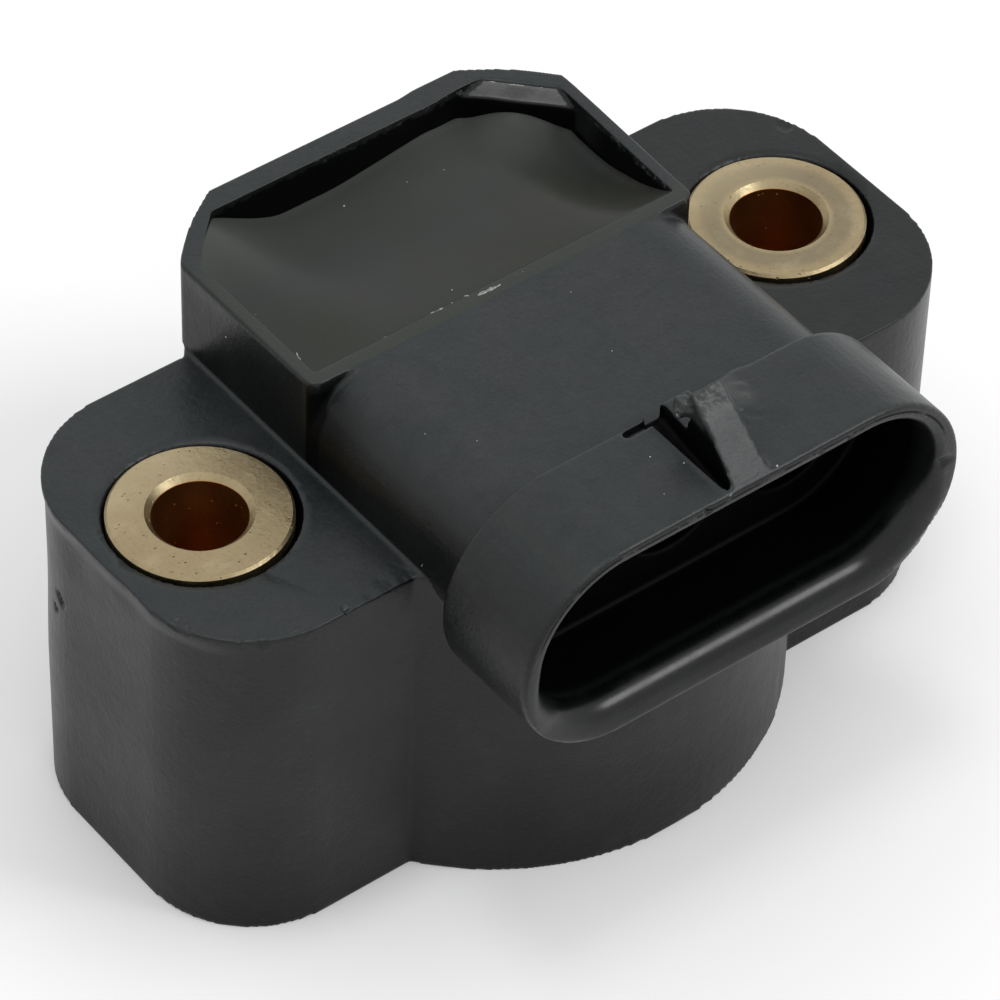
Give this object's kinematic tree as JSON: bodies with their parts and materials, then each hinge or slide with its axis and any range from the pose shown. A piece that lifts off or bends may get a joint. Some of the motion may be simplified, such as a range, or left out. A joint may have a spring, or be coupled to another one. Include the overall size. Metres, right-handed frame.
{
  "type": "throttle position sensor",
  "caption": "Rotary throttle position sensor: black housing with two brass-bushed bolt ears, a potted cap, a keyed three-way connector mouth and a sprung rotor that the throttle shaft turns.",
  "frame": {"origin": "on the rotor's axis, in the mounting face, midway between the two bolt holes", "axes": "X runs through the two bolt holes, -Y is the way the plug leaves, Z is the rotor axis and points away from the mounting face"},
  "size_m": [0.0528, 0.0386, 0.0337],
  "materials": {
    "black_plastic": "moulded, satin, lightly dusty",
    "brass": "turned, pitted on the end faces",
    "epoxy": "cast, smooth",
    "tinned": "tin plated",
    "phenolic": "pressed sheet",
    "bronze": "plain",
    "nylon": "moulded",
    "spring_steel": "drawn and oiled",
    "elastomer": "moulded"
  },
  "bodies": {
    "base": {"housing": "black_plastic", "bushing_left": "brass", "bushing_right": "brass", "potting_fill": "epoxy", "terminal_supply": "tinned", "terminal_signal": "tinned", "terminal_ground": "tinned", "link_pin_supply": "tinned", "link_pin_signal": "tinned", "link_pin_ground": "tinned", "element_board": "phenolic", "pivot_bush": "bronze", "return_spring": "spring_steel", "thrust_washer": "spring_steel", "retainer": "black_plastic", "shaft_seal": "elastomer", "mounting_seal": "elastomer"},
    "turning": {"rotor": "nylon", "drive_clip": "spring_steel", "wiper": "bronze"}
  },
  "joints": [
    {"name": "rotor_turn", "type": "hinge", "parent": "base", "child": "turning", "pos_m": [0, 0, 0], "axis": [0, 0, 1], "range_deg": [0, 95], "stiffness_Nm_per_rad": 0.02, "springref_deg": -28.65, "deforming": ["return_spring"]}
  ]
}
